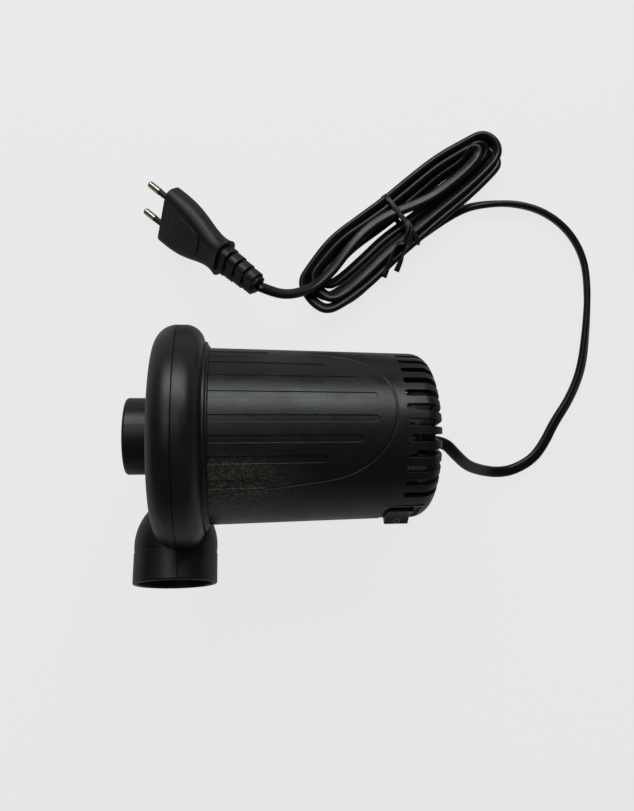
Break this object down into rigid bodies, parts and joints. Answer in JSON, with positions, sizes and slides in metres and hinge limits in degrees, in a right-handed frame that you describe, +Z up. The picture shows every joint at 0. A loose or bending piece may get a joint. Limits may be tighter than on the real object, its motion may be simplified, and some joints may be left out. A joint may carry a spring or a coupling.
{
  "type": "electric air mattress pump",
  "caption": "Mains blower lying on its side: round air case with intake spigot and outlet, ribbed motor housing with vents, rocker switch, wound flat lead with flat plug.",
  "frame": {"origin": "centre of the footprint of the pump without its lead, on the floor it lies on", "axes": "+X along the motor axis from the intake to the rear vents (the axis dips 6.75 degrees to the rear), +Z up, outlet towards -Y and 20.5 degrees up"},
  "size_m": [0.2667, 0.2572, 0.1146],
  "materials": {
    "case_black": "moulded ABS, satin",
    "guard_black": "moulded ABS",
    "rocker_black": "semi-gloss",
    "mark_white": "printed",
    "impeller_grey": "moulded nylon",
    "fan_white": "moulded nylon",
    "steel": "ground",
    "zinc_steel": "zinc plated",
    "lamination": "punched sheet",
    "copper": "enamelled",
    "brass": "drawn",
    "bronze": "sintered",
    "carbon": "pressed carbon",
    "rubber": "moulded",
    "lead_brown": "PVC",
    "cord_pvc": "soft PVC",
    "plug_pvc": "moulded PVC",
    "pin_nickel": "nickel-plated brass"
  },
  "bodies": {
    "casing": {"volute_front_cover": "case_black", "volute_rear_cover": "case_black", "intake_guard": "guard_black", "motor_housing": "case_black", "housing_screws": "zinc_steel", "front_bracket": "zinc_steel", "rear_bracket": "zinc_steel", "front_bearing": "bronze", "rear_bearing": "bronze", "stator_core": "lamination", "field_coils": "copper", "motor_bolts": "zinc_steel", "bolt_spacers": "zinc_steel", "motor_mount_rings": "rubber", "motor_mount_screws": "zinc_steel", "carbon_brushes": "carbon", "brush_holders": "brass", "brush_springs": "steel", "brush_caps": "guard_black", "switch_body": "guard_black", "switch_tabs": "brass", "switch_leads": "lead_brown", "cord_gland": "rubber", "cord_clamp": "guard_black", "clamp_screws": "zinc_steel", "clamp_posts": "guard_black", "cord_inner_end": "cord_pvc", "plug_body": "plug_pvc", "plug_boot": "plug_pvc", "plug_sleeves": "plug_pvc", "plug_pins": "pin_nickel", "cord_run": "cord_pvc", "cord_plug_run": "cord_pvc", "cord_hank": "cord_pvc", "cord_tie": "cord_pvc"},
    "rotor": {"motor_shaft": "steel", "impeller": "impeller_grey", "impeller_washer": "zinc_steel", "impeller_nut": "zinc_steel", "cooling_fan": "fan_white", "armature_core": "lamination", "armature_winding": "copper", "commutator": "copper"},
    "rocker": {"switch_rocker": "rocker_black", "switch_marks": "mark_white"}
  },
  "joints": [
    {"name": "rotor_spin", "type": "hinge", "parent": "casing", "child": "rotor", "pos_m": [-0.05175, 0.01375, 0.05748], "axis": [0.9931, 0, -0.1175], "continuous": true},
    {"name": "rocker_tilt", "type": "hinge", "parent": "casing", "child": "rocker", "pos_m": [0.06071, -0.02344, 0.05817], "axis": [0.9931, 0, -0.1175], "range_deg": [0, 24]}
  ]
}
